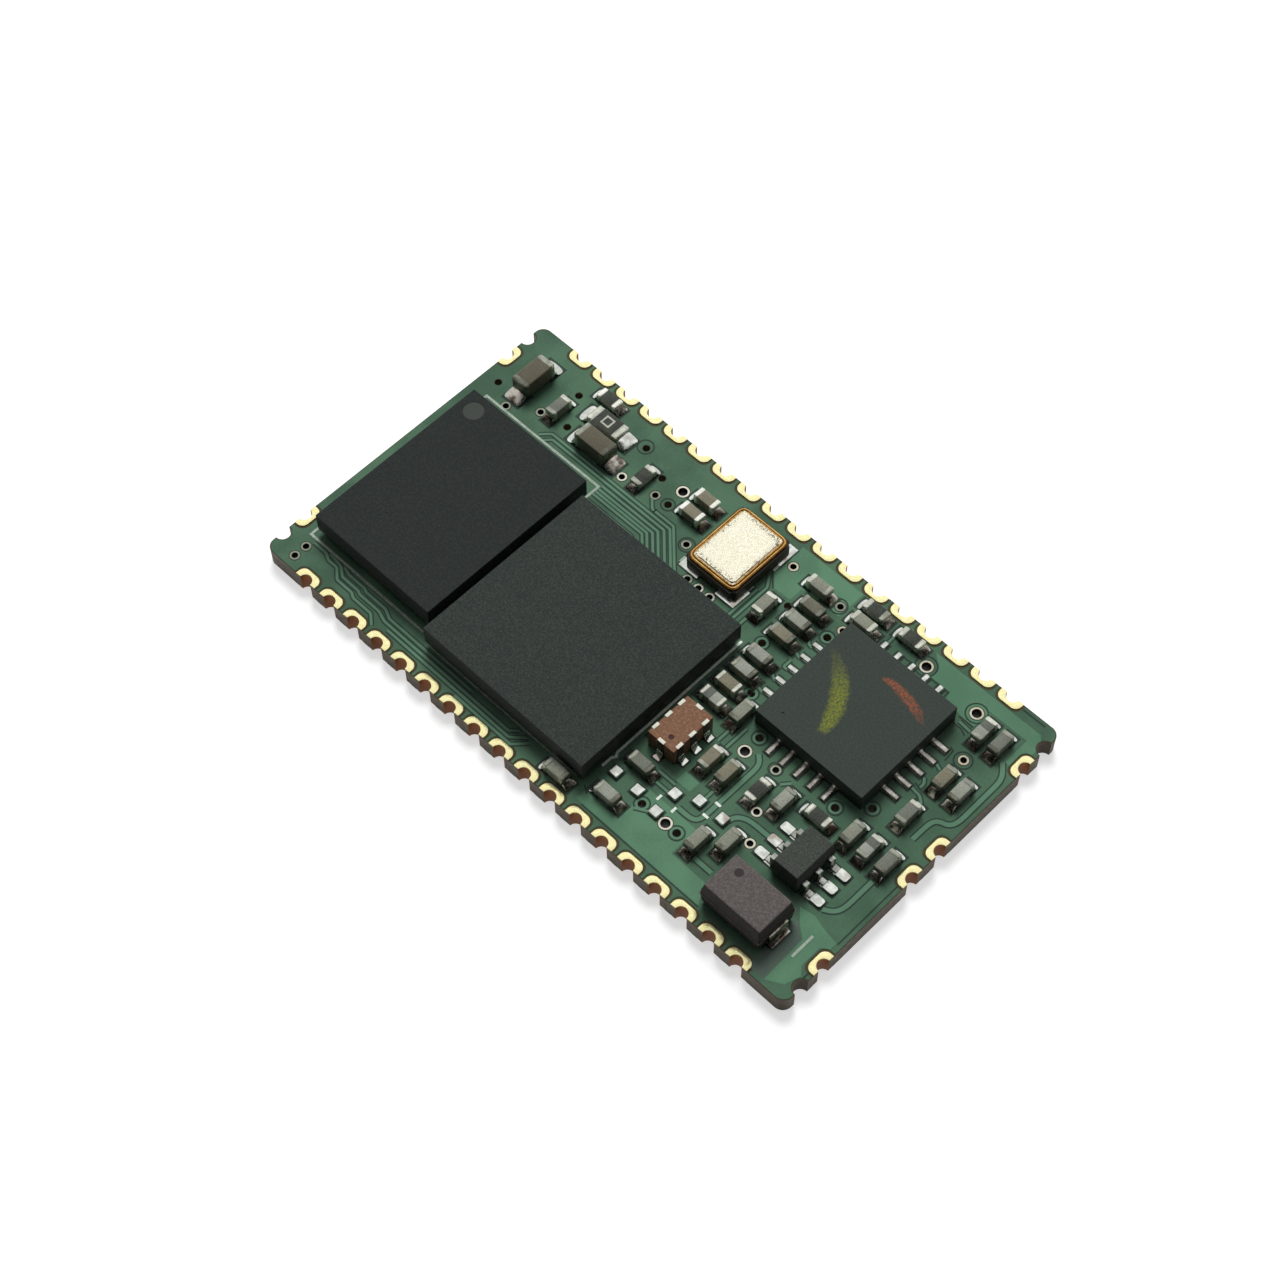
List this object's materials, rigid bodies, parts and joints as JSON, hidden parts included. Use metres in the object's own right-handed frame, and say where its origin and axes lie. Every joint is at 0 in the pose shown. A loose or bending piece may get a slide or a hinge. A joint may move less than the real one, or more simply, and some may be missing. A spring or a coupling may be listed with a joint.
{
  "type": "wireless radio module",
  "caption": "Small green surface-mount radio module with half-hole edge contacts, memory, baseband and front-end chips, a crystal, a filter and small parts.",
  "frame": {"origin": "middle of the board's underside", "axes": "+X along the board from the memory chip to the antenna contacts, +Y to the rear row of contacts, +Z out of the board's top"},
  "size_m": [0.026, 0.0142, 0.0021],
  "materials": {
    "board": "satin solder mask over glass-fibre laminate",
    "gold": "bright gold plating",
    "via_metal": "pale gold plating",
    "memory_mould": "fine matte moulding",
    "baseband_mould": "speckled matte moulding",
    "radio_mould": "matte moulding",
    "regulator_mould": "matte moulding",
    "bulk_mould": "grey matte moulding",
    "substrate": "laminate edge",
    "solder": "bright solder",
    "tin": "tinned metal",
    "dark_ceramic": "dark fired ceramic",
    "seal_metal": "dull gold plating",
    "lid_metal": "pale gold plating",
    "brown_ceramic": "brown fired ceramic",
    "end_metal": "tinned end",
    "capacitor_ceramic": "fired ceramic, grey to tan",
    "inductor_ceramic": "fired ceramic in two greys",
    "alumina": "white fired ceramic",
    "black_coat": "black glaze"
  },
  "bodies": {
    "root": {"circuit_board": "board", "front_contacts": "gold", "rear_contacts": "gold", "antenna_contacts": "gold", "memory_end_contacts": "gold", "plated_vias": "via_metal", "memory_case": "memory_mould", "memory_substrate": "substrate", "memory_balls": "solder", "baseband_case": "baseband_mould", "baseband_substrate": "substrate", "baseband_balls": "solder", "radio_case": "radio_mould", "radio_terminals": "tin", "radio_paddle": "tin", "radio_solder": "solder", "crystal_base": "dark_ceramic", "crystal_seal_ring": "seal_metal", "crystal_lid": "lid_metal", "crystal_solder": "solder", "filter_body": "brown_ceramic", "filter_bands": "end_metal", "filter_solder": "solder", "regulator_case": "regulator_mould", "regulator_leads": "tin", "regulator_solder": "solder", "bulk_capacitor_case": "bulk_mould", "bulk_capacitor_leads": "tin", "bulk_capacitor_solder": "solder", "memory_capacitor_bodies": "capacitor_ceramic", "memory_capacitor_ends": "end_metal", "memory_resistor_bodies": "alumina", "memory_resistor_coats": "black_coat", "memory_resistor_ends": "end_metal", "memory_solder": "solder", "crystal_capacitor_bodies": "capacitor_ceramic", "crystal_capacitor_ends": "end_metal", "crystal_capacitor_solder": "solder", "column_capacitor_bodies": "capacitor_ceramic", "column_capacitor_ends": "end_metal", "column_inductor_body": "inductor_ceramic", "column_inductor_ends": "end_metal", "column_resistor_bodies": "alumina", "column_resistor_coats": "black_coat", "column_resistor_ends": "end_metal", "column_solder": "solder", "antenna_capacitor_bodies": "capacitor_ceramic", "antenna_capacitor_ends": "end_metal", "antenna_inductor_bodies": "inductor_ceramic", "antenna_inductor_ends": "end_metal", "antenna_solder": "solder", "supply_capacitor_bodies": "capacitor_ceramic", "supply_capacitor_ends": "end_metal", "supply_resistor_bodies": "alumina", "supply_resistor_coats": "black_coat", "supply_resistor_ends": "end_metal", "supply_solder": "solder", "spare_lands": "solder"}
  },
  "joints": []
}
